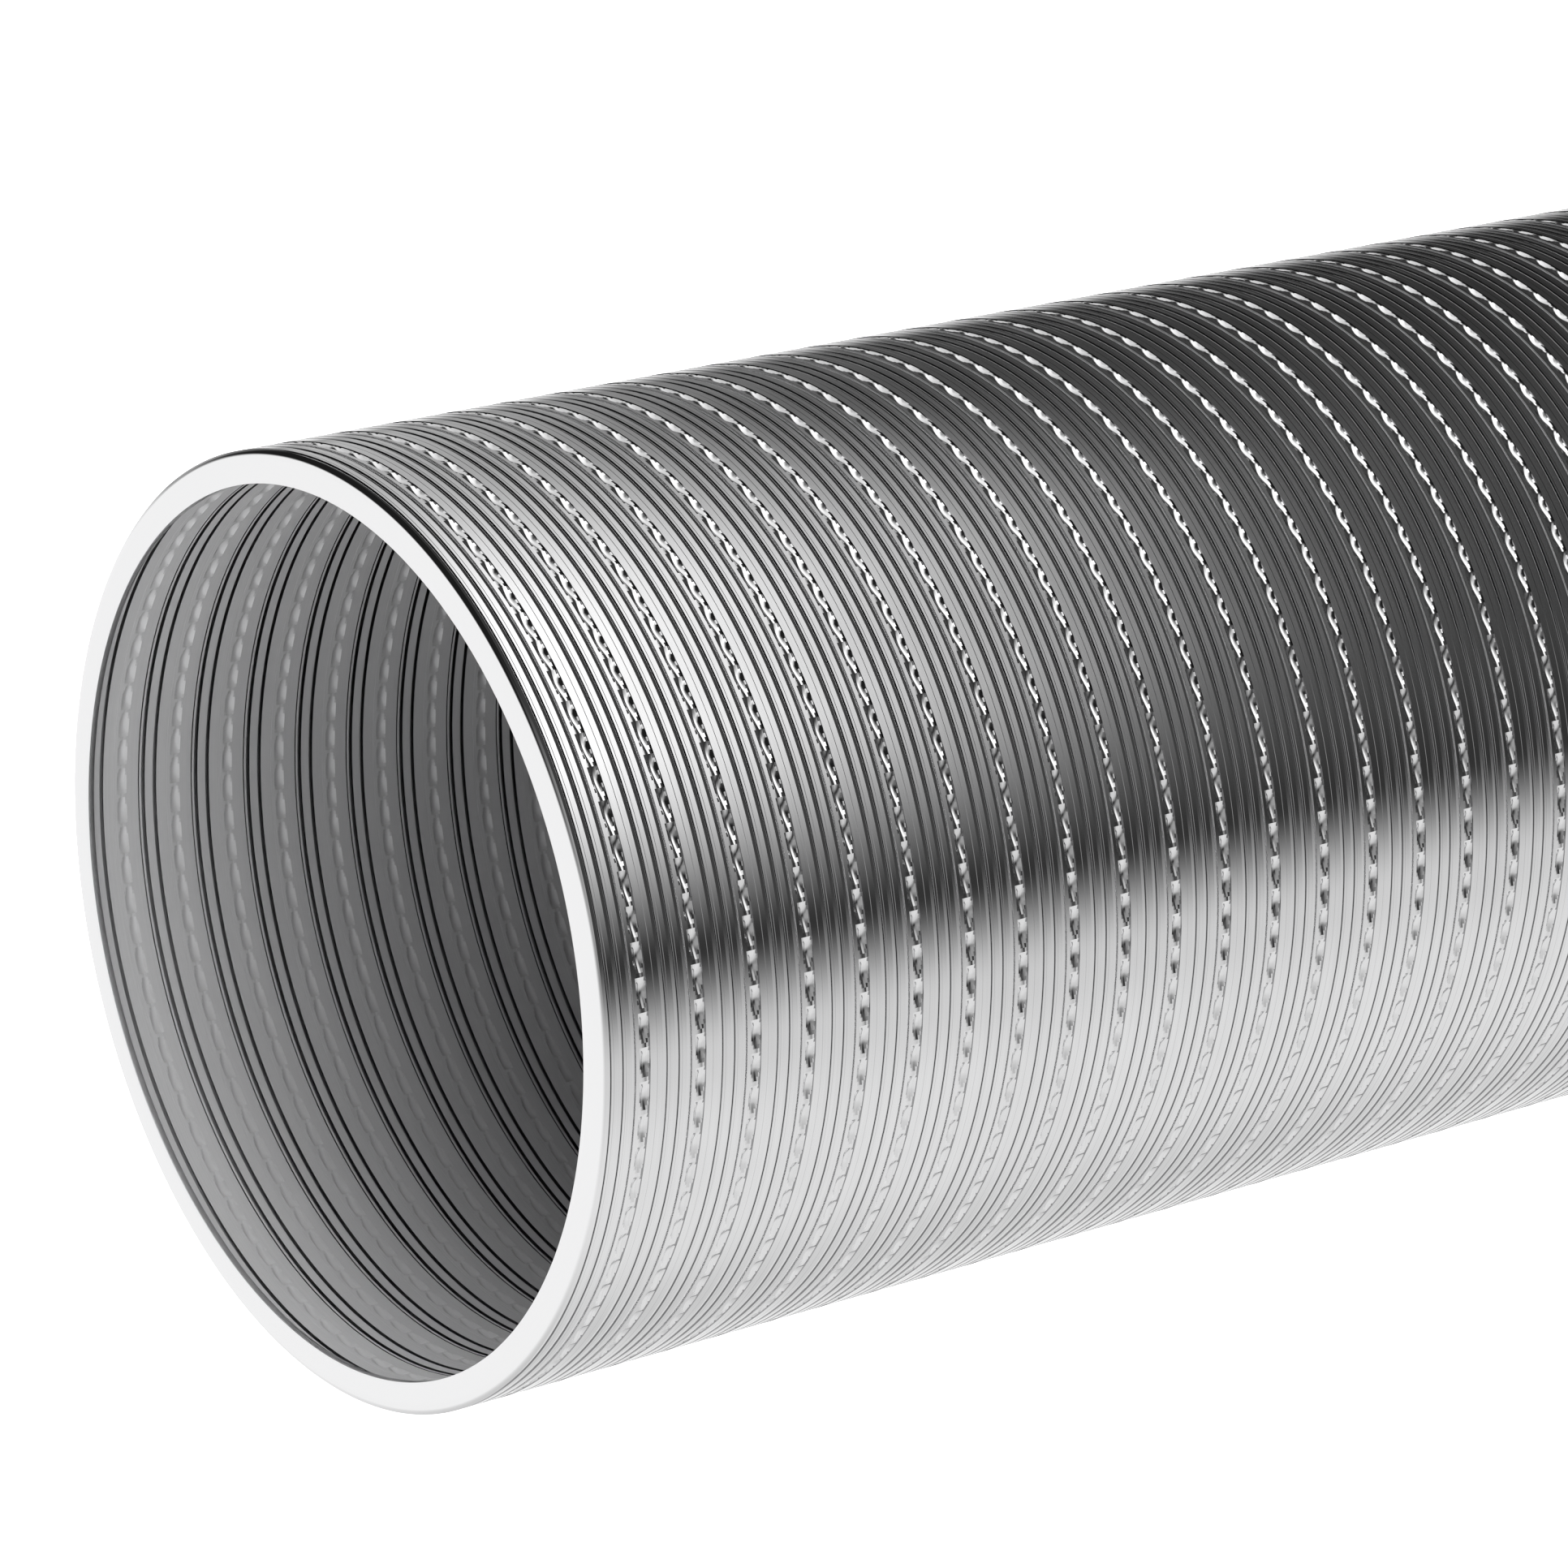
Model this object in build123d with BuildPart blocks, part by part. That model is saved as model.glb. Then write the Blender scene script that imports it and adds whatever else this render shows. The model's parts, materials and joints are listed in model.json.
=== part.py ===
# Semi-rigid flexible air duct, 160 mm class: two flat end rings joined by a corrugated
# aluminium foil wall, pushed together to its shipping length.
#
# The wall repeats one pitch: a flat lock seam band, then a pleated web of narrow grooves.
# +X runs along the duct from the front ring, +Z is up, and the origin is the centre of the
# front ring's flat face. All sizes are millimetres.
import os

from build123d import *

os.makedirs("parts", exist_ok=True)

# Driving sizes
BORE_RADIUS = 80.0  # the end rings' opening, for a 160 mm spigot
PLEAT_DEPTH = 4.0  # from a groove's valley to the crests
SEAM_COUNT = 28  # turns of the lock seam

# End rings: sheet metal, a flat face with a short collar inside the opening
RING_PLATE = 0.65
RING_COLLAR_WALL = 0.6
RING_COLLAR_LENGTH = 1.2
RING_EDGE_ROUND = 0.45
COLLAR_CLEARANCE = 1.4  # between the collar and the valleys around it

# Lock seam band: the foil's edges folded into each other outside, and a leg of single foil at
# each edge that runs down to the valleys
SEAM_WIDTH = 5.5
SEAM_THICKNESS = 0.6

# Pleated web: grooves open to the outside, with crests between them
FOIL = 0.3
GROOVE_COUNT = 3
GROOVE_WIDTH = 0.8
CREST_WIDTH = 1.75

# Air gap between a web's edge and the band or ring beside it, so that each can move
EDGE_GAP = 0.2

# What follows from them
VALLEY_RADIUS = BORE_RADIUS + RING_COLLAR_WALL + COLLAR_CLEARANCE
OUTER_RADIUS = VALLEY_RADIUS + PLEAT_DEPTH  # rings, seam bands and pleat crests are flush
CREST_COUNT = GROOVE_COUNT - 1
WEB_WIDTH = GROOVE_COUNT * GROOVE_WIDTH + CREST_COUNT * CREST_WIDTH
SEAM_PITCH = SEAM_WIDTH + WEB_WIDTH
WEB_STARTS = [RING_PLATE + i * SEAM_PITCH for i in range(SEAM_COUNT + 1)]
SEAM_STARTS = [start + WEB_WIDTH for start in WEB_STARTS[:SEAM_COUNT]]
LENGTH = WEB_STARTS[-1] + WEB_WIDTH + RING_PLATE


def section_plane(x, direction=1):
    """The XZ plane at x along the duct. Its own x runs along +X, or along -X if direction is -1."""
    return Plane(origin=(x, 0, 0), x_dir=(direction, 0, 0), z_dir=(0, -direction, 0))


def end_ring(face_x, inward):
    """Flat ring whose face is at face_x, with its collar turned inward along the duct."""
    with BuildPart() as ring:
        with BuildSketch(section_plane(face_x, inward)) as section:
            with BuildLine():
                Polyline(
                    (0, BORE_RADIUS),
                    (0, OUTER_RADIUS),
                    (RING_PLATE, OUTER_RADIUS),
                    (RING_PLATE, BORE_RADIUS + RING_COLLAR_WALL),
                    (RING_COLLAR_LENGTH, BORE_RADIUS + RING_COLLAR_WALL),
                    (RING_COLLAR_LENGTH, BORE_RADIUS),
                    close=True,
                )
            make_face()
            rim_corners = section.vertices().group_by(Axis.Y)[-1]
            fillet(rim_corners.sort_by(Axis.X)[0], RING_EDGE_ROUND)
        revolve(axis=Axis.X)
    return ring.part


def lock_seam(start):
    """Flat band with a leg turned down at each edge, open to the inside of the duct."""
    band_inside = OUTER_RADIUS - SEAM_THICKNESS
    with BuildPart() as seam:
        with BuildSketch(section_plane(start)):
            with BuildLine():
                Polyline(
                    (0, VALLEY_RADIUS),
                    (0, OUTER_RADIUS),
                    (SEAM_WIDTH, OUTER_RADIUS),
                    (SEAM_WIDTH, VALLEY_RADIUS),
                    (SEAM_WIDTH - FOIL, VALLEY_RADIUS),
                    (SEAM_WIDTH - FOIL, band_inside),
                    (FOIL, band_inside),
                    (FOIL, VALLEY_RADIUS),
                    close=True,
                )
            make_face()
        revolve(axis=Axis.X)
    return seam.part


def pleated_web(start):
    """Foil that runs along the valleys and up over each crest."""
    valley_top = VALLEY_RADIUS + FOIL
    crest_inside = OUTER_RADIUS - FOIL
    outside = [(EDGE_GAP, valley_top)]
    inside = [(EDGE_GAP, VALLEY_RADIUS)]
    for k in range(CREST_COUNT):
        left = GROOVE_WIDTH + k * (GROOVE_WIDTH + CREST_WIDTH)
        right = left + CREST_WIDTH
        outside += [
            (left, valley_top),
            (left, OUTER_RADIUS),
            (right, OUTER_RADIUS),
            (right, valley_top),
        ]
        inside += [
            (left + FOIL, VALLEY_RADIUS),
            (left + FOIL, crest_inside),
            (right - FOIL, crest_inside),
            (right - FOIL, VALLEY_RADIUS),
        ]
    outside.append((WEB_WIDTH - EDGE_GAP, valley_top))
    inside.append((WEB_WIDTH - EDGE_GAP, VALLEY_RADIUS))
    with BuildPart() as web:
        with BuildSketch(section_plane(start)):
            with BuildLine():
                Polyline(*outside, *reversed(inside), close=True)
            make_face()
        revolve(axis=Axis.X)
    return web.part


def save(piece, name):
    piece.label = name
    export_step(piece, f"parts/{name}.step")


save(end_ring(0, inward=1), "front_end_ring")
save(end_ring(LENGTH, inward=-1), "rear_end_ring")
for number, start in enumerate(SEAM_STARTS, 1):
    save(lock_seam(start), f"lock_seam_{number:02d}")
for number, start in enumerate(WEB_STARTS, 1):
    save(pleated_web(start), f"pleated_web_{number:02d}")
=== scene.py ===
"""Semi-rigid aluminium air duct: detailed foil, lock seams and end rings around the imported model."""

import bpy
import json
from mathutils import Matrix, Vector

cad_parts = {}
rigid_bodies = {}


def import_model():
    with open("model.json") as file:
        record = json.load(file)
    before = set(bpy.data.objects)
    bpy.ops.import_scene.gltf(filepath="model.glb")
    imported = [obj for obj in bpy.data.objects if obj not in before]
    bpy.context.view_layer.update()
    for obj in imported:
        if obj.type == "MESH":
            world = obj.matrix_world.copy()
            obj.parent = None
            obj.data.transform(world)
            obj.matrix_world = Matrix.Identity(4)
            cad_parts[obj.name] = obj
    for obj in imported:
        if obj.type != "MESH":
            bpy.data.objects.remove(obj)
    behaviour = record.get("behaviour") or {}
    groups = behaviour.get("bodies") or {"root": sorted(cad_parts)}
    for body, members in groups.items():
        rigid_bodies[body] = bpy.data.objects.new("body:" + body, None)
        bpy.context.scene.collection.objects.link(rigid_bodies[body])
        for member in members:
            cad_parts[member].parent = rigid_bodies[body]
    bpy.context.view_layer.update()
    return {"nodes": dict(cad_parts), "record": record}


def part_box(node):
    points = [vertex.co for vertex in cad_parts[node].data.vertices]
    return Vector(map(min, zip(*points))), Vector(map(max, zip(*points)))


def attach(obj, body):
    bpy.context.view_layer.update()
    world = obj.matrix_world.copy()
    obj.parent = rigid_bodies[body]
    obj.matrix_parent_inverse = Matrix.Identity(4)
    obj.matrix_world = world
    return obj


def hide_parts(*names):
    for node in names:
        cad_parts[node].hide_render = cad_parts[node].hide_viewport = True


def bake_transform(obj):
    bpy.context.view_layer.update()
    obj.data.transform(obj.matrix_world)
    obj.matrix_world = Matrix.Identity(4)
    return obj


bl_info = {
    "name": "Flexible air duct",
    "version": (1, 0, 0),
    "blender": (4, 5, 0),
    "location": "View3D > Sidebar > Duct",
    "description": "Builds the foil wall, the dented lock seams and the end rings of an air duct",
    "category": "Object",
}

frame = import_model()

import json
import math

import bmesh
import bpy
from mathutils import Vector

MM = 0.001


# ------------------------------------------------------------------ sizes read from the frame


def numbered(prefix):
    """The node names that start with prefix, in order along the duct."""
    return sorted(name for name in frame["nodes"] if name.startswith(prefix))


SEAMS = numbered("lock_seam_")
WEBS = numbered("pleated_web_")
RING_LOW, RING_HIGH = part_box("front_end_ring")
REAR_LOW, REAR_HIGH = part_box("rear_end_ring")
SEAM_LOW, SEAM_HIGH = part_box(SEAMS[0])
OUTER = RING_HIGH[1]
FRONT_X = RING_LOW[0]
REAR_X = REAR_HIGH[0]
SEAM_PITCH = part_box(SEAMS[1])[0][0] - SEAM_LOW[0]
SEAM_WIDTH = SEAM_HIGH[0] - SEAM_LOW[0]
WEB_WIDTH = SEAM_PITCH - SEAM_WIDTH
BORE = frame["record"]["mounts"][0]["dims"]["r_mm"] * MM
COLLAR_LENGTH = RING_HIGH[0] - RING_LOW[0]
COLLAR_WALL = 0.6 * MM
PLATE_DEPTH = 2 * MM
LIP_ROUND = 0.12 * MM
SEAM_START = SEAM_LOW[0]
WEB_START = SEAM_START - WEB_WIDTH
RING_PLATE = WEB_START - FRONT_X
CROWN_START = 2.2 * MM
CROWN_DROP = 0.18 * MM
CROWN_STEPS = 6
RIM_ROUND = 1.1 * MM
RIM_CURVE = 1.8
RIM_STEPS = 8
FOLD_WIDTH = 0.07 * MM
FOLD_TO_CREASE = 1.5 * MM
CREST_TO_CREASE = 0.5 * MM
CREASE_HALF = 0.055 * MM
DENT_ROWS = 6
DENT_TAIL = 0.5
DENT_TAIL_POINT = 0.7
DENT_HEAD_SHIFT = 1.3
SOFT_MARGIN = 0.1 * MM
WALL_STEPS = 6
WALL_FOOT = 0.25 * MM
WELD = 0.01 * MM

# Camera, in outer radii from the front ring's centre, and its turn and pitch in degrees
CAMERA_PLACE = (-6.789, -10.823, 4.477)
CAMERA_TURN = 36.31
CAMERA_PITCH = 18.05
CAMERA_LENS = 152.4

# Strengths of the lights
FLOOR_LIGHT = 0.78
BACKDROP_LIGHT = 0.93
BOX_LIGHT = 1.35
FRONT_LIGHT = 0.35
MOUTH_LIGHT = 4.6
STUDIO_LIGHT = 0.022
BLACK_LIGHT = 0.012
FLOOR_GLOW = 0.9


# ------------------------------------------------------------------ what a user would change


class DuctSizes(bpy.types.PropertyGroup):
    foil: bpy.props.FloatProperty(
        name="Foil", description="Thickness of the foil", default=0.2 * MM, unit="LENGTH")
    depth: bpy.props.FloatProperty(
        name="Pleat depth", description="From a crest down to a groove's valley",
        default=4.0 * MM, unit="LENGTH")
    groove: bpy.props.FloatProperty(
        name="Groove", description="Width of a groove between two crests",
        default=0.95 * MM, unit="LENGTH")
    shoulder: bpy.props.FloatProperty(
        name="Shoulder", description="Bevel where the foil turns down into a groove",
        default=0.05 * MM, unit="LENGTH")
    eave: bpy.props.FloatProperty(
        name="Eave", description="How far a crest's sloping edge reaches over the groove behind it",
        default=0.84 * MM, unit="LENGTH")
    eave_drop: bpy.props.FloatProperty(
        name="Eave drop", description="How far that edge slopes down", default=0.18 * MM, unit="LENGTH")
    crease: bpy.props.FloatProperty(
        name="Crease", description="Depth of the fine line rolled along each crest",
        default=0.05 * MM, unit="LENGTH")
    dents: bpy.props.IntProperty(
        name="Dents", description="Knurled dents around one turn of the lock seam", default=90)
    dent_depth: bpy.props.FloatProperty(
        name="Dent depth", description="How deep a dent is pressed", default=0.75 * MM, unit="LENGTH")
    fold: bpy.props.FloatProperty(
        name="Fold", description="Depth of the fold line beside the dents", default=0.2 * MM, unit="LENGTH")
    dent_start: bpy.props.FloatProperty(
        name="Dent start", description="From the band's front edge to the dents",
        default=0.75 * MM, unit="LENGTH")
    dent_width: bpy.props.FloatProperty(
        name="Dent width", description="Width of a dent along the duct",
        default=2.1 * MM, unit="LENGTH")
    dent_steps: bpy.props.IntProperty(
        name="Dent steps", description="Faces around the duct in one dent", default=8)
    web_steps: bpy.props.IntProperty(
        name="Web steps", description="Faces around one turn of a pleated web", default=192)
    ring_steps: bpy.props.IntProperty(
        name="Ring steps", description="Faces around an end ring", default=384)


class DuctColours(bpy.types.PropertyGroup):
    foil: bpy.props.FloatVectorProperty(
        name="Foil", description="Bright rolled aluminium foil", subtype="COLOR", size=3,
        default=(0.90, 0.90, 0.905))
    # Painted shade: a darker colour put on the walls of the grooves and dents, for the shade in these
    # recesses
    groove_shade: bpy.props.FloatVectorProperty(
        name="Groove wall", description="Duller foil on the walls of the grooves", subtype="COLOR", size=3,
        default=(0.42, 0.42, 0.425))
    inside: bpy.props.FloatVectorProperty(
        name="Inside", description="Matte side of the foil, inside the duct", subtype="COLOR", size=3,
        default=(0.46, 0.46, 0.465))
    ring: bpy.props.FloatVectorProperty(
        name="Ring", description="Polished sheet of the end rings", subtype="COLOR", size=3,
        default=(0.93, 0.93, 0.935))
    floor: bpy.props.FloatVectorProperty(
        name="Floor", description="Pale studio floor", subtype="COLOR", size=3,
        default=(0.95, 0.95, 0.95))


# ------------------------------------------------------------------ modelling helpers


def make_active(obj):
    bpy.ops.object.select_all(action="DESELECT")
    obj.select_set(True)
    bpy.context.view_layer.objects.active = obj


def draw_profile(name, points):
    """Draw a line of edges through (x, radius) points above the duct's axis, vertex by vertex.

    It stays in edit mode, and its object stands at the origin.
    """
    bpy.ops.object.select_all(action="DESELECT")
    bpy.ops.mesh.primitive_plane_add(size=MM, enter_editmode=True)
    bpy.context.object.name = name
    bpy.context.object.data.name = name
    bpy.ops.mesh.merge(type="CENTER")
    here = Vector((points[0][0], 0, points[0][1]))
    bpy.ops.transform.translate(value=here)
    for x, radius in points[1:]:
        there = Vector((x, 0, radius))
        bpy.ops.mesh.extrude_region_move(TRANSFORM_OT_translate={"value": there - here})
        here = there


def select_verts(chosen):
    """Select the vertices of the mesh in edit mode for which chosen(place) is true."""
    data = bpy.context.object.data
    mesh = bmesh.from_edit_mesh(data)
    bpy.ops.mesh.select_mode(type="VERT")
    bpy.ops.mesh.select_all(action="DESELECT")
    for vert in mesh.verts:
        vert.select = chosen(vert.co)
    mesh.select_flush_mode()
    bmesh.update_edit_mesh(data)


def spin(steps, angle, copies=False):
    """Sweep everything around the duct's axis, or copy it around."""
    bpy.ops.mesh.select_all(action="SELECT")
    bpy.ops.mesh.spin(steps=steps, angle=angle, dupli=copies, center=(0, 0, 0), axis=(1, 0, 0))


def close_turn():
    """Weld the turn shut, face it outwards, and leave edit mode."""
    bpy.ops.mesh.select_all(action="SELECT")
    bpy.ops.mesh.remove_doubles(threshold=WELD)
    bpy.ops.mesh.normals_make_consistent(inside=False)
    bpy.ops.object.mode_set(mode="OBJECT")
    return bpy.context.object


def smooth(obj, sharp_angle=10):
    """Shade smooth around the duct, with the edges of the section left crisp."""
    make_active(obj)
    bpy.ops.object.shade_smooth_by_angle(angle=math.radians(sharp_angle))


def copy_along(obj, name, shift):
    """A copy with its own mesh, moved along the duct."""
    make_active(obj)
    bpy.ops.object.duplicate(linked=False)
    copy = bpy.context.object
    copy.name = name
    copy.data.name = name
    bpy.ops.transform.translate(value=(shift, 0, 0))
    bpy.ops.object.transform_apply(location=True, rotation=True, scale=True)
    return copy


def eave_points(edge, sizes):
    """The sloping edge of a band or crest that ends at edge, and its underside, (x, radius)."""
    tip = OUTER - sizes.eave_drop
    return [
        (edge, OUTER), (edge + sizes.eave, tip), (edge + sizes.eave * 0.9, tip - sizes.foil * 0.7),
        (edge - sizes.foil, tip - sizes.foil)]


def crease_points(line, sizes):
    """The fine groove rolled along a crest or a band at line, (x, radius)."""
    return [(line - CREASE_HALF, OUTER), (line, OUTER - sizes.crease), (line + CREASE_HALF, OUTER)]


# ------------------------------------------------------------------ shader helpers


class Socket:
    """A shader value that can be used in Python expressions."""

    def __init__(self, kit, link):
        self.kit = kit
        self.link = link

    def math(self, operation, *others):
        return self.kit.node("ShaderNodeMath", {"operation": operation}, [self, *others])

    def __add__(self, other):
        return self.math("ADD", other)

    def __sub__(self, other):
        return self.math("SUBTRACT", other)

    def __rsub__(self, other):
        return self.kit.node("ShaderNodeMath", {"operation": "SUBTRACT"}, [other, self])

    def __mul__(self, other):
        return self.math("MULTIPLY", other)

    __radd__ = __add__
    __rmul__ = __mul__

    def ramp(self, zero_at, one_at):
        """0 at one value and 1 at the other, smooth between and flat outside. Either may be the larger."""
        settings = {"interpolation_type": "SMOOTHSTEP"}
        return self.kit.node(
            "ShaderNodeMapRange", settings, {"Value": self, "From Min": zero_at, "From Max": one_at})


class NodeKit:
    """Adds nodes to one node tree."""

    def __init__(self, tree):
        self.tree = tree
        tree.nodes.clear()

    def node(self, kind, settings=None, values=None, output=0):
        """Add a node, set its settings and then its sockets, and give one of its outputs back."""
        node = self.tree.nodes.new(kind)
        for key, value in (settings or {}).items():
            setattr(node, key, value)
        pairs = enumerate(values) if isinstance(values, list) else (values or {}).items()
        for key, value in pairs:
            if isinstance(value, Socket):
                self.tree.links.new(value.link, node.inputs[key])
            else:
                node.inputs[key].default_value = value
        return Socket(self, node.outputs[output]) if node.outputs else None

    def mix(self, factor, first, second):
        """A colour between two colours."""
        settings = {"data_type": "RGBA"}
        return self.node("ShaderNodeMix", settings, {0: factor, 6: first, 7: second}, output=2)


def opaque(rgb, share=1.0):
    return (*[channel * share for channel in rgb], 1.0)


def new_material(name):
    material = bpy.data.materials.new(name + "_look")
    material.use_nodes = True
    return NodeKit(material.node_tree), material


def rolled_metal(name, base, groove_shade, roughness, line_depth, metallic=1.0):
    """Aluminium with the fine lines that rolling leaves around the duct, and painted shade on the groove
    walls.
    """
    kit, material = new_material(name)
    place = kit.node("ShaderNodeTexCoord", output="Object")
    facing = kit.node("ShaderNodeTexCoord", output="Normal")
    facing_x = kit.node("ShaderNodeSeparateXYZ", values=[facing], output="X")
    # Painted shade: faces that turn along the duct, which are the walls of grooves and dents, are masked
    # here for the darker colour
    groove_shade_mask = facing_x.math("ABSOLUTE").ramp(0.5, 0.95)
    drawn_out = kit.node("ShaderNodeMapping", values={"Vector": place, "Scale": (5200, 14, 14)})
    lines = kit.node("ShaderNodeTexNoise", values={"Vector": drawn_out, "Scale": 1.0, "Detail": 3.0})
    blotches = kit.node("ShaderNodeTexNoise", values={"Vector": place, "Scale": 38.0, "Detail": 4.0})
    specks = kit.node("ShaderNodeTexNoise", values={"Vector": place, "Scale": 1900.0, "Detail": 2.0})
    worn = (lines * 0.6 + blotches * 0.4).ramp(0.38, 0.62)
    tint = kit.mix(worn * 0.5, opaque(base), opaque(base, 0.9))
    # Painted shade on the groove and dent walls
    tint = kit.mix(groove_shade_mask, tint, opaque(groove_shade))
    rough = (lines - 0.5) * 0.05 + (blotches - 0.5) * 0.05 + roughness
    height = lines * 0.7 + specks * 0.3
    bump = kit.node("ShaderNodeBump", values={"Strength": 0.3, "Distance": line_depth, "Height": height})
    shader = kit.node("ShaderNodeBsdfPrincipled", values={
        "Base Color": tint, "Metallic": metallic, "Roughness": rough, "Normal": bump})
    kit.node("ShaderNodeOutputMaterial", values={"Surface": shader})
    return material


def finish_piece(obj, slot, inside=None):
    obj.data.materials.clear()
    obj.data.materials.append(bpy.data.materials[slot + "_look"])
    if inside:
        obj.data.materials.append(bpy.data.materials[inside + "_look"])


class DUCT_OT_materials(bpy.types.Operator):
    """Rolled foil, knurled foil and polished sheet"""

    bl_idname = "duct.materials"
    bl_label = "Metals"

    def execute(self, context):
        colours = context.scene.duct_colours
        # Foil and seams get painted shade on their groove walls; the inside and the rings use one colour
        # for both
        rolled_metal("pleated_foil", colours.foil, colours.groove_shade, 0.09, 0.003 * MM)
        rolled_metal("knurled_seam", colours.foil, colours.groove_shade, 0.08, 0.003 * MM)
        rolled_metal("matte_inside", colours.inside, colours.inside, 0.36, 0.006 * MM, 0.35)
        rolled_metal("polished_ring", colours.ring, colours.ring, 0.06, 0.001 * MM)
        return {"FINISHED"}


# ------------------------------------------------------------------ end rings


def ring_outline(back_edge):
    """Section of a ring from its face inwards: a crowned face, a rounded rim and a short collar.

    back_edge holds the points of a sloping edge behind the rim, and is empty where there is none.
    """
    crown_from = BORE + CROWN_START
    rim_start = OUTER - RIM_ROUND
    cut = LIP_ROUND * 0.3
    outline = [(LIP_ROUND, BORE), (cut, BORE + cut), (0, BORE + LIP_ROUND)]
    outline.append((0, crown_from))
    for i in range(1, CROWN_STEPS + 1):
        share = i / CROWN_STEPS
        outline.append((CROWN_DROP * share ** 2, crown_from + (rim_start - crown_from) * share))
    for i in range(1, RIM_STEPS + 1):
        share = i / RIM_STEPS
        across = (RING_PLATE - CROWN_DROP) * share ** RIM_CURVE
        outline.append((CROWN_DROP + across, rim_start + RIM_ROUND * share))
    outline += back_edge
    outline += [
        (RING_PLATE, OUTER - PLATE_DEPTH), (RING_PLATE, BORE + COLLAR_WALL),
        (COLLAR_LENGTH, BORE + COLLAR_WALL), (COLLAR_LENGTH, BORE), (LIP_ROUND, BORE)]
    return outline


class DUCT_OT_rings(bpy.types.Operator):
    """Polished end rings with a crowned face and a rounded rim"""

    bl_idname = "duct.rings"
    bl_label = "End rings"

    def execute(self, context):
        sizes = context.scene.duct_sizes
        front_edge = eave_points(RING_PLATE, sizes)[1:]
        ends = (
            ("front_ring_detail", "front_end_ring", "front_ring", FRONT_X, 1, front_edge),
            ("rear_ring_detail", "rear_end_ring", "rear_ring", REAR_X, -1, []))
        for name, node, body, face, inward, back_edge in ends:
            draw_profile(name, [(face + inward * x, radius) for x, radius in ring_outline(back_edge)])
            spin(sizes.ring_steps, math.tau)
            ring = close_turn()
            smooth(ring, 40)
            finish_piece(ring, "polished_ring")
            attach(ring, body)
            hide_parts(node)
        return {"FINISHED"}


# ------------------------------------------------------------------ lock seams


def seam_rows(sizes):
    """Where the lines of vertices that the dents are pressed into run, from the band's front edge."""
    return [sizes.dent_start + sizes.dent_width * i / DENT_ROWS for i in range(DENT_ROWS + 1)]


def seam_outline(sizes):
    """Closed section of a lock seam band, (x, radius), from its front edge."""
    valley = OUTER - sizes.depth
    bevel = sizes.shoulder
    rows = seam_rows(sizes)
    fold_end = rows[-1] + FOLD_WIDTH
    outer = [(0, valley + bevel), (0, OUTER - bevel), (bevel, OUTER)]
    outer += [(x, OUTER) for x in rows[:-2]]
    outer += [(rows[-2], OUTER - sizes.fold * 0.35), (rows[-1], OUTER - sizes.fold), (fold_end, OUTER)]
    outer += crease_points(rows[-1] + FOLD_TO_CREASE, sizes) + eave_points(SEAM_WIDTH, sizes)
    inner = [(SEAM_WIDTH - sizes.foil, valley + bevel), (SEAM_WIDTH - sizes.foil - bevel, valley)]
    inner += [(x, valley) for x in reversed(rows)]
    inner += [(bevel, valley)]
    return outer + inner + outer[:1]


def dent_depth(across, along):
    """Depth of a drop-shaped dent, 0 to 1. across is -1 to 1 over its width, along is 0 at its tail."""
    width = min(1, (along / DENT_TAIL) ** DENT_TAIL_POINT)
    reach = abs(across) / width if width else 1
    if reach >= 1 or along >= 1:
        return 0
    return math.sin(math.pi * along ** DENT_HEAD_SHIFT) * math.cos(math.pi / 2 * reach)


def press_dents(sizes):
    """Press one dent into each face of the band in edit mode, one vertex at a time."""
    dent_turn = math.tau / sizes.dents
    outwards = Vector((0, math.sin(dent_turn / 2), math.cos(dent_turn / 2)))
    for i, x in enumerate(seam_rows(sizes)):
        for k in range(1, sizes.dent_steps):
            down = sizes.dent_depth * dent_depth(i / DENT_ROWS * 2 - 1, k / sizes.dent_steps)
            turn = dent_turn * k / sizes.dent_steps
            for side in (1, -1):

                def at_point(place):
                    above = math.hypot(place.y, place.z) - (OUTER - sizes.depth / 2)
                    near = abs(place.x - SEAM_START - x) < WELD
                    here = abs(math.atan2(place.y, place.z) - turn) < dent_turn / sizes.dent_steps / 4
                    return above * side > 0 and near and here

                if down:
                    select_verts(at_point)
                    bpy.ops.transform.translate(value=outwards * down * -side)


def soften_dents(obj, sizes):
    """Let the shading run smoothly inside the dents. Their rims stay crisp."""
    make_active(obj)
    bpy.ops.object.mode_set(mode="EDIT")
    valley = OUTER - sizes.depth

    def pressed(place):
        radius = math.hypot(place.y, place.z)
        low = SEAM_START + sizes.dent_start
        across = low + SOFT_MARGIN < place.x < low + sizes.dent_width - SOFT_MARGIN
        deep = sizes.fold * 0.5
        return across and valley + deep < radius < OUTER - deep

    select_verts(pressed)
    bpy.ops.mesh.mark_sharp(clear=True)
    bpy.ops.object.mode_set(mode="OBJECT")


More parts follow.
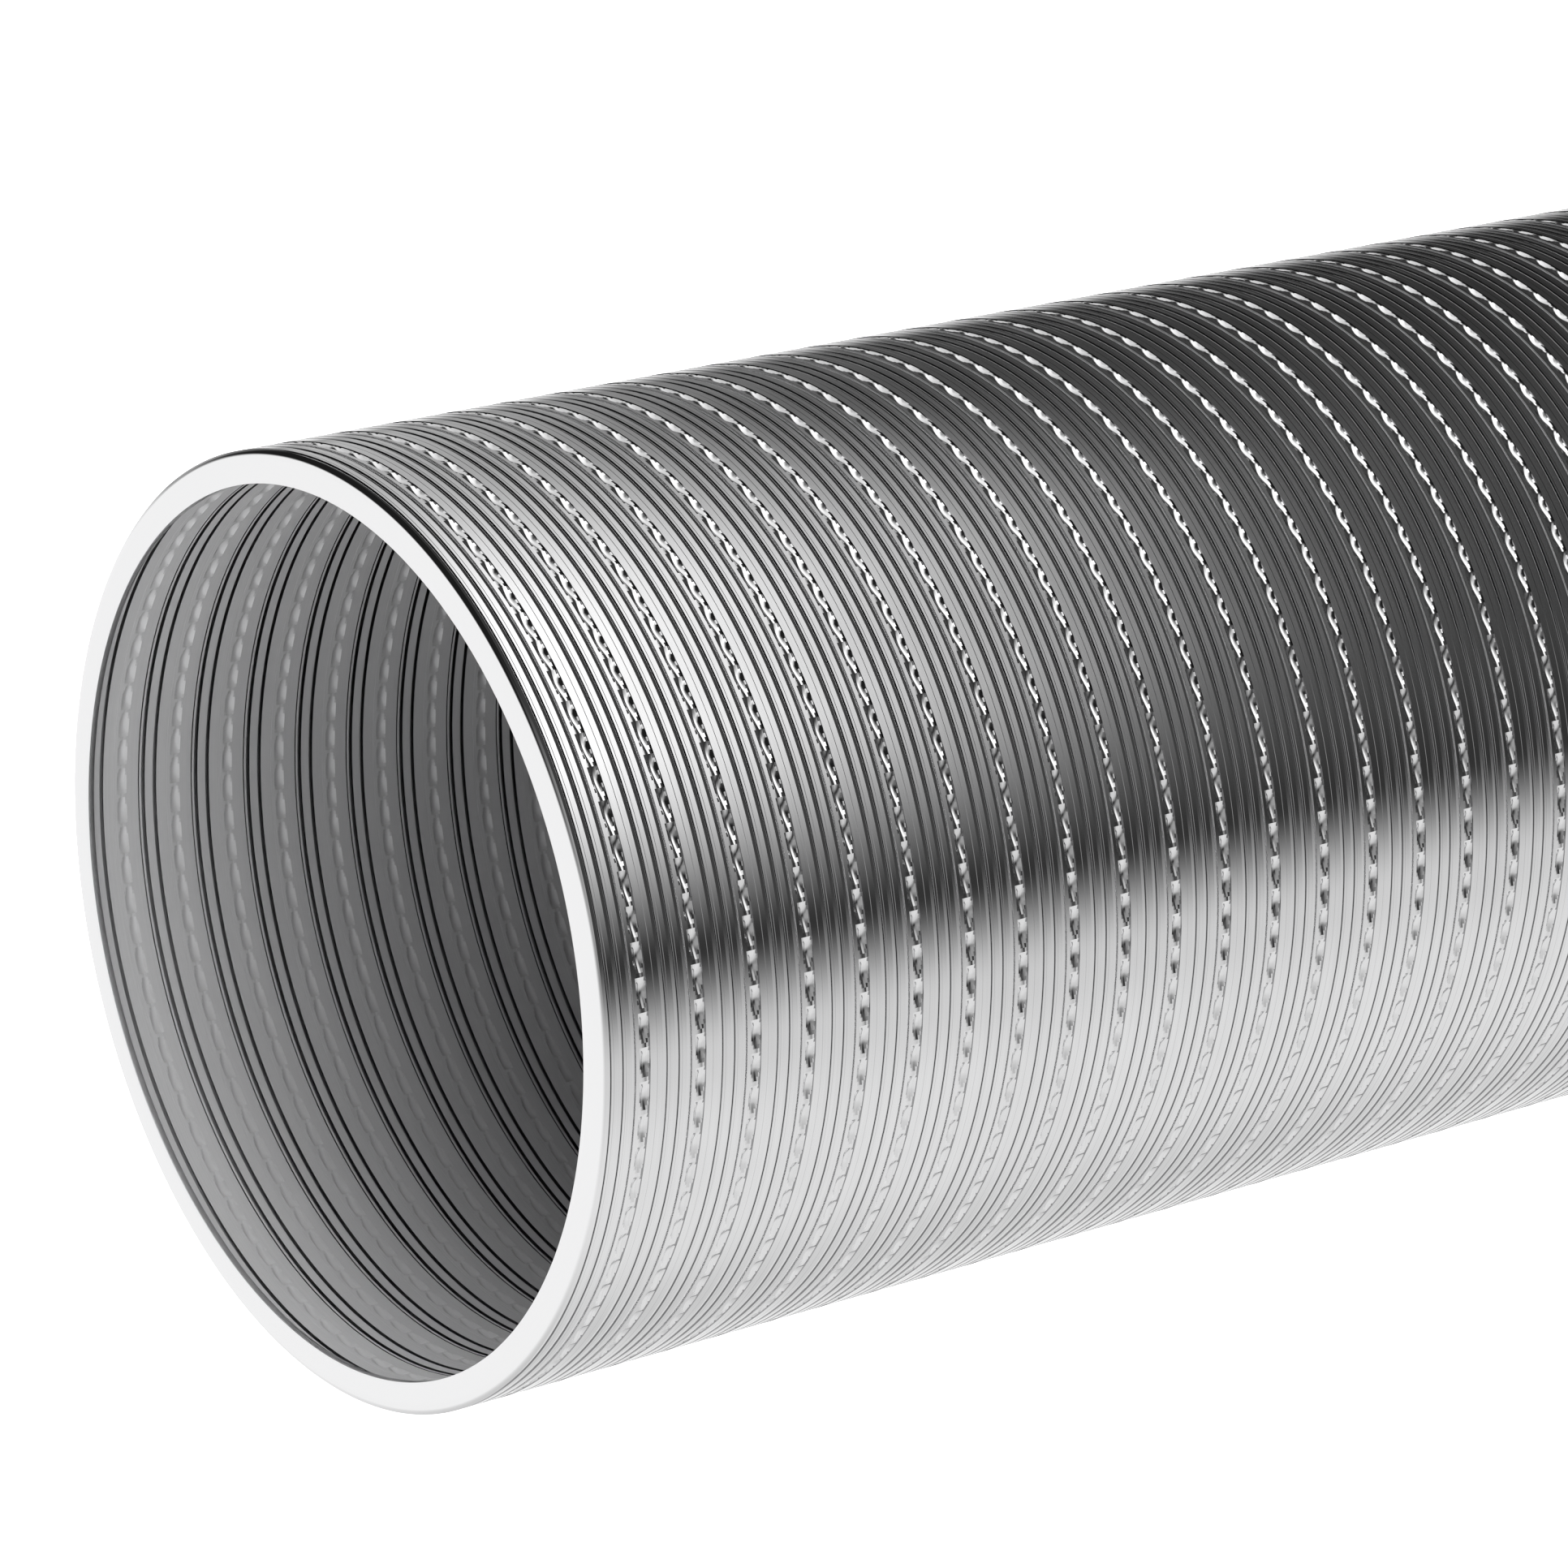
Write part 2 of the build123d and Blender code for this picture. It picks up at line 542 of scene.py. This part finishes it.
class DUCT_OT_seams(bpy.types.Operator):
    """Lock seam bands, dented all round by a knurling wheel"""

    bl_idname = "duct.seams"
    bl_label = "Lock seams"

    def execute(self, context):
        sizes = context.scene.duct_sizes
        draw_profile("seam_detail_01", [(SEAM_START + x, radius) for x, radius in seam_outline(sizes)])
        dent_turn = math.tau / sizes.dents
        spin(sizes.dent_steps, dent_turn)
        bpy.ops.mesh.select_all(action="SELECT")
        bpy.ops.mesh.remove_doubles(threshold=WELD)
        press_dents(sizes)
        spin(sizes.dents - 1, dent_turn * (sizes.dents - 1), copies=True)
        first = close_turn()
        smooth(first)
        soften_dents(first, sizes)
        finish_piece(first, "knurled_seam", "matte_inside")
        for face in first.data.polygons:
            face.material_index = int(math.hypot(face.center.y, face.center.z) < OUTER - sizes.depth / 2)
        for i, node in enumerate(SEAMS):
            seam = first if i == 0 else copy_along(first, f"seam_detail_{i + 1:02d}", i * SEAM_PITCH)
            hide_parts(node)
        for i, node in enumerate(SEAMS):
            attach(bpy.data.objects[f"seam_detail_{i + 1:02d}"], f"seam_{i + 1:02d}")
        return {"FINISHED"}


# ------------------------------------------------------------------ pleated webs


def web_outline(start, end, sizes):
    """Closed section of one pleat and the land behind it, (x, radius), from the web's front edge.

    The wall that opens when the duct stretches or bends leans back from the land before the crest.
    The wall behind the crest leans under it, so that the slot on the inside is narrow too.
    """
    valley = OUTER - sizes.depth
    top = OUTER - sizes.foil
    crest = start + sizes.groove
    crest_end = crest + (WEB_WIDTH - 3 * sizes.groove) / 2
    foot = start + WALL_FOOT
    slot_end = start + 1.5 * sizes.groove
    steps = [i / WALL_STEPS for i in range(WALL_STEPS + 1)]
    low, high = valley + sizes.foil, OUTER - sizes.shoulder
    outer = [(start, low)] + [(foot + (crest - foot) * s, low + (high - low) * s) for s in steps]
    outer += [(crest + sizes.shoulder, OUTER)] + crease_points(crest + CREST_TO_CREASE, sizes)
    outer += eave_points(crest_end, sizes)
    outer += [(slot_end, low), (end, low)]
    foil = sizes.foil
    inner = [
        (end, valley), (slot_end - foil, valley), (crest_end - 2 * foil, top - foil),
        (crest_end - 2 * foil, top)]
    inner += [(foot + foil + (crest - foot) * s, valley + (top - valley) * s) for s in reversed(steps)]
    inner += [(start, valley)]
    return outer + inner + outer[:1]


def make_pleat(name, outline, sizes):
    draw_profile(name, [(WEB_START + x, radius) for x, radius in outline])
    spin(sizes.web_steps, math.tau)
    pleat = close_turn()
    smooth(pleat)
    finish_piece(pleat, "pleated_foil", "matte_inside")
    for face in pleat.data.polygons:
        face.material_index = int(face.normal.dot(Vector((0, face.center.y, face.center.z))) < 0)
    return pleat


class DUCT_OT_webs(bpy.types.Operator):
    """Pleated foil between the lock seams, in a front and a rear pleat"""

    bl_idname = "duct.webs"
    bl_label = "Pleated webs"

    def execute(self, context):
        sizes = context.scene.duct_sizes
        repeat = (WEB_WIDTH - sizes.groove) / 2
        first = {
            "front": make_pleat("web_front_01", web_outline(0, repeat, sizes), sizes),
            "rear": make_pleat("web_rear_01", web_outline(repeat, WEB_WIDTH, sizes), sizes)}
        for i, node in enumerate(WEBS):
            here = f"web_{i + 1:02d}"
            before = "front_ring" if i == 0 else f"seam_{i:02d}"
            after = f"seam_{i + 1:02d}" if i < len(SEAMS) else "rear_ring"
            spans = {"front": (before, here, 0), "rear": (here, after, repeat)}
            for side, (near, far, start) in spans.items():
                low = WEB_START + i * SEAM_PITCH + start + WALL_FOOT
                high = low + sizes.groove - WALL_FOOT
                name = f"web_{side}_{i + 1:02d}"
                half = first[side] if i == 0 else copy_along(first[side], name, i * SEAM_PITCH)
                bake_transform(half)
                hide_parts(node)
        return {"FINISHED"}


# ------------------------------------------------------------------ stage


def studio_world(kit):
    """White floor light below, a broad soft light high on the left, and a dark studio elsewhere.

    Matte surfaces also get soft light from the side of the front opening, which fades with depth inside.
    """
    direction = kit.node("ShaderNodeTexCoord", output="Generated")
    x = kit.node("ShaderNodeSeparateXYZ", values=[direction], output="X")
    y = kit.node("ShaderNodeSeparateXYZ", values=[direction], output="Y")
    z = kit.node("ShaderNodeSeparateXYZ", values=[direction], output="Z")
    behind = y.ramp(-0.25, 0.3)
    near_floor = (z.ramp(-0.01, -0.37) * 0.83 + z.ramp(-0.35, -0.65) * 0.17) * FLOOR_LIGHT
    backdrop = z.ramp(0.08, -0.16) * (1 - z.ramp(-0.45, -0.85) * 0.35) * BACKDROP_LIGHT
    floor = near_floor * (1 - behind) + backdrop * behind
    lift = z.math("ARCTAN2", y * -1.0)
    edge = x + lift.ramp(math.radians(75), math.radians(150)) * 0.035
    box = edge.ramp(0.635, 0.51) * 0.94 + edge.ramp(0.7, 0.59) * 0.06
    box = box * x.ramp(-0.35, 0.05) * lift.ramp(math.radians(-2), math.radians(54))
    box = box * (1 - lift.ramp(math.radians(72), math.radians(150)) * 0.55) * z.ramp(-0.05, 0.1)
    front = x.ramp(0.1, -0.4) * z.ramp(0.5, 0.15) * z.ramp(-0.2, 0.0) * (1 - behind)
    into_mouth = x.ramp(-0.66, -0.22) * x.ramp(0.05, -0.1)
    studio = x.ramp(-0.4, 0.0) + x.ramp(0.7, 0.9)
    matte_ray = kit.node("ShaderNodeLightPath", output="Is Diffuse Ray")
    seen = kit.node("ShaderNodeLightPath", output="Is Camera Ray")
    light = floor + box * BOX_LIGHT + front * FRONT_LIGHT + studio * STUDIO_LIGHT + BLACK_LIGHT
    light = light + into_mouth * matte_ray * MOUTH_LIGHT
    background = kit.node("ShaderNodeBackground", values={"Color": (1, 1, 1, 1), "Strength": light})
    plain = kit.node("ShaderNodeBackground", values={"Color": (1, 1, 1, 1), "Strength": 1.0})
    both = kit.node("ShaderNodeMixShader", values=[seen, background, plain])
    kit.node("ShaderNodeOutputWorld", values={"Surface": both})


class DUCT_OT_stage(bpy.types.Operator):
    """Pale floor, soft studio light and the camera"""

    bl_idname = "duct.stage"
    bl_label = "Stage"

    def execute(self, context):
        scene = context.scene
        scene.view_settings.view_transform = "Standard"
        world = bpy.data.worlds.new("studio")
        world.use_nodes = True
        studio_world(NodeKit(world.node_tree))
        scene.world = world

        bpy.ops.object.select_all(action="DESELECT")
        bpy.ops.mesh.primitive_plane_add(size=60, location=(0, 0, -OUTER - 0.2 * MM))
        floor = context.object
        floor.name = "floor"
        kit, material = new_material("floor")
        pale = kit.node("ShaderNodeBsdfDiffuse", values={"Color": opaque(scene.duct_colours.floor)})
        glow = kit.node("ShaderNodeEmission", values={"Color": (1, 1, 1, 1), "Strength": FLOOR_GLOW})
        both = kit.node("ShaderNodeAddShader", values=[pale, glow])
        kit.node("ShaderNodeOutputMaterial", values={"Surface": both})
        floor.data.materials.append(material)
        floor.visible_glossy = False

        place = Vector(CAMERA_PLACE) * OUTER
        bpy.ops.object.camera_add(location=place)
        camera = context.object
        camera.name = "camera"
        camera.rotation_euler = (math.radians(90 - CAMERA_PITCH), 0, math.radians(-CAMERA_TURN))
        camera.data.sensor_width = 36
        camera.data.lens = CAMERA_LENS
        camera.data.clip_start = 0.01
        camera.data.clip_end = 100
        scene.camera = camera
        return {"FINISHED"}


# ------------------------------------------------------------------ add-on


class DUCT_PT_panel(bpy.types.Panel):
    """Lists the duct's pieces in the sidebar"""

    bl_idname = "DUCT_PT_panel"
    bl_label = "Flexible air duct"
    bl_space_type = "VIEW_3D"
    bl_region_type = "UI"
    bl_category = "Duct"

    def draw(self, context):
        layout = self.layout
        for group in (context.scene.duct_sizes, context.scene.duct_colours):
            for key in group.__annotations__:
                layout.prop(group, key)
        for operator in OPERATORS:
            layout.operator(operator.bl_idname)


OPERATORS = (DUCT_OT_materials, DUCT_OT_rings, DUCT_OT_seams, DUCT_OT_webs, DUCT_OT_stage)
CLASSES = (DuctSizes, DuctColours, *OPERATORS, DUCT_PT_panel)


def register():
    for cls in CLASSES:
        bpy.utils.register_class(cls)
    bpy.types.Scene.duct_sizes = bpy.props.PointerProperty(type=DuctSizes)
    bpy.types.Scene.duct_colours = bpy.props.PointerProperty(type=DuctColours)


def unregister():
    del bpy.types.Scene.duct_sizes
    del bpy.types.Scene.duct_colours
    for cls in reversed(CLASSES):
        bpy.utils.unregister_class(cls)


def main():
    register()
    bpy.ops.duct.materials()
    bpy.ops.duct.rings()
    bpy.ops.duct.seams()
    bpy.ops.duct.webs()
    bpy.ops.duct.stage()


if __name__ == "__main__":
    main()
